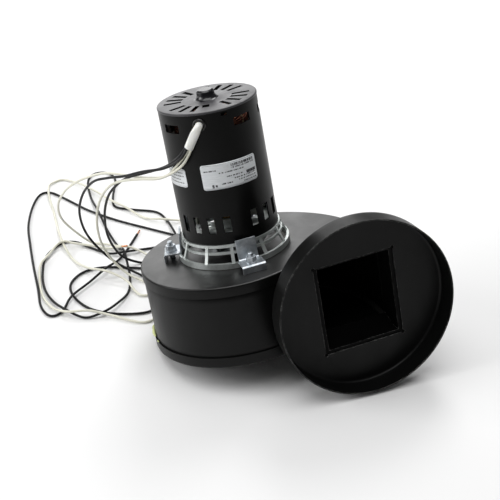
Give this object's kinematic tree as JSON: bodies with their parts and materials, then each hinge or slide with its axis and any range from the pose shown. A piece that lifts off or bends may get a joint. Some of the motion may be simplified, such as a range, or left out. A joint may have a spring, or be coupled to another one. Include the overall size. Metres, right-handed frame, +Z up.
{
  "type": "combustion fan",
  "caption": "Draft-inducer combustion fan: open ventilated motor on a die-cast cage over a black scroll housing with a square duct and a round vent collar.",
  "frame": {"origin": "centre of the fan's footprint on the surface it rests on, without its leads", "axes": "+Z up from that surface, +X the way the air leaves the collar seen from above (the outlet rises 10 degrees), +Y across it towards the collar's far side"},
  "size_m": [0.4703, 0.3182, 0.2304],
  "materials": {
    "bronze": "satin",
    "cap_grey": "satin",
    "copper": "gloss",
    "copper_bare": "gloss",
    "die_cast": "satin",
    "fan_plastic": "satin",
    "fibre": "matt",
    "galvanised": "satin",
    "grommet_black": "satin",
    "housing_black": "satin",
    "label_silver": "satin",
    "label_white": "satin",
    "lamination": "satin",
    "lead_black": "satin",
    "lead_white": "satin",
    "motor_black": "satin",
    "seal_red": "matt",
    "sealant": "matt",
    "sleeve_white": "gloss",
    "steel": "polished",
    "steel_dark": "satin",
    "zinc_plate": "satin"
  },
  "bodies": {
    "housing": {"top_plate": "housing_black", "scroll_wall": "housing_black", "base_cover": "housing_black", "seam_gasket": "sealant", "inlet_ring": "galvanised", "outlet_duct": "housing_black", "outlet_collar": "housing_black", "cutoff_plate": "housing_black", "shaft_seal": "seal_red", "cage_gasket": "fibre", "motor_cage": "die_cast", "front_clip": "zinc_plate", "left_clip": "zinc_plate", "rear_clip": "zinc_plate", "clip_studs": "zinc_plate", "clip_washers": "zinc_plate", "clip_nuts": "zinc_plate", "motor_shell": "motor_black", "motor_top_cap": "cap_grey", "motor_bottom_bell": "die_cast", "stator_core": "lamination", "stator_windings": "copper", "upper_bearing": "bronze", "lower_bearing": "bronze", "through_bolts": "zinc_plate", "lead_grommet": "grommet_black", "lead_sleeve": "sleeve_white", "rating_label": "label_silver", "wiring_label": "label_white", "black_lead_a": "lead_black", "black_lead_b": "lead_black", "white_lead_a": "lead_white", "white_lead_b": "lead_white", "bare_tips": "copper_bare"},
    "rotor": {"shaft": "steel", "rotor_core": "lamination", "thrust_washers": "bronze", "motor_fan": "fan_plastic", "heat_slinger": "galvanised", "wheel_hub": "steel", "wheel_back_plate": "galvanised", "wheel_blades": "galvanised", "wheel_rim": "galvanised", "set_screw": "steel_dark"}
  },
  "joints": [
    {"name": "rotor_spin", "type": "hinge", "parent": "housing", "child": "rotor", "pos_m": [-0.03073, -0.03433, 0.08865], "axis": [0.2014, 0.0745, -0.9767], "continuous": true}
  ]
}
